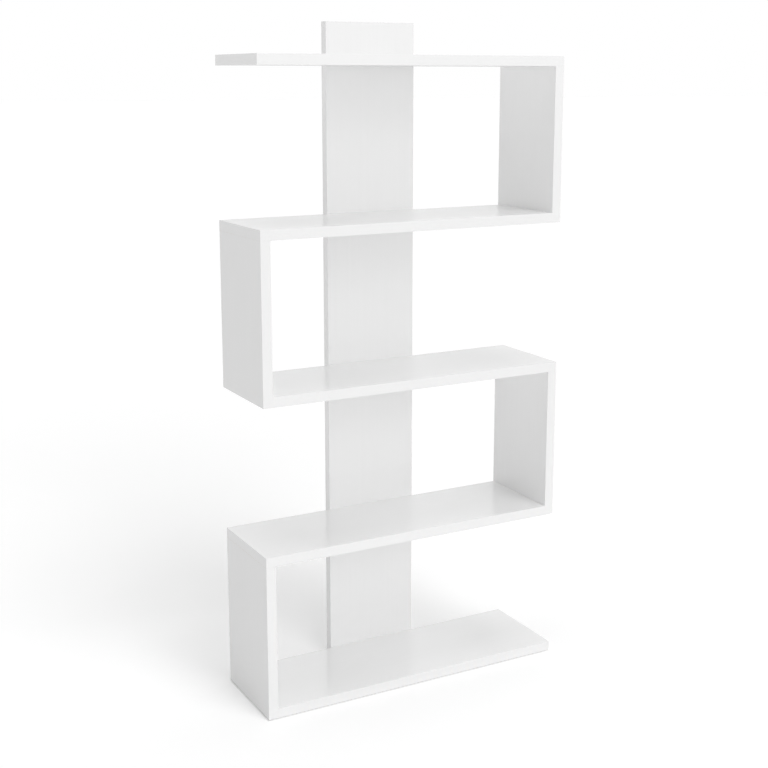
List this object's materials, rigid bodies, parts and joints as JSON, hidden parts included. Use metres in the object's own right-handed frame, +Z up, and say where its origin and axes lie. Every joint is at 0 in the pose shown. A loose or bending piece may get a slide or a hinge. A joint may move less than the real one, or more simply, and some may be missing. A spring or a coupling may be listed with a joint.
{
  "type": "zigzag bookshelf",
  "caption": "White free-standing bookshelf whose shelf boards are joined by short uprights left and right in turn, so that it zigzags upwards in front of a narrow spine board.",
  "frame": {"origin": "on the floor, under the middle of the bookshelf's whole width and depth", "axes": "+X to the right seen from the front, +Y to the back, where the spine board is, +Z up"},
  "size_m": [0.6, 0.199, 1.207],
  "materials": {
    "white_laminate": "satin white melamine on chipboard",
    "white_edging": "satin white edging strip",
    "beech": "plain turned beech",
    "zinc_plated_steel": "bright zinc plating",
    "cast_zinc": "plain die-cast zinc",
    "white_plastic": "fine moulded grain"
  },
  "bodies": {
    "root": {"shelf_1_board": "white_laminate", "shelf_2_board": "white_laminate", "shelf_3_board": "white_laminate", "shelf_4_board": "white_laminate", "shelf_5_board": "white_laminate", "upright_1_left_board": "white_laminate", "upright_2_right_board": "white_laminate", "upright_3_left_board": "white_laminate", "upright_4_right_board": "white_laminate", "spine_board": "white_laminate", "shelf_1_edging": "white_edging", "shelf_2_edging": "white_edging", "shelf_3_edging": "white_edging", "shelf_4_edging": "white_edging", "shelf_5_edging": "white_edging", "upright_1_left_edging": "white_edging", "upright_2_right_edging": "white_edging", "upright_3_left_edging": "white_edging", "upright_4_right_edging": "white_edging", "spine_edging": "white_edging", "corner_dowels": "beech", "cam_bolts": "zinc_plated_steel", "cam_locks": "cast_zinc", "cam_covers": "white_plastic", "spine_screws": "zinc_plated_steel", "spine_screw_caps": "white_plastic", "glides": "white_plastic"}
  },
  "joints": []
}
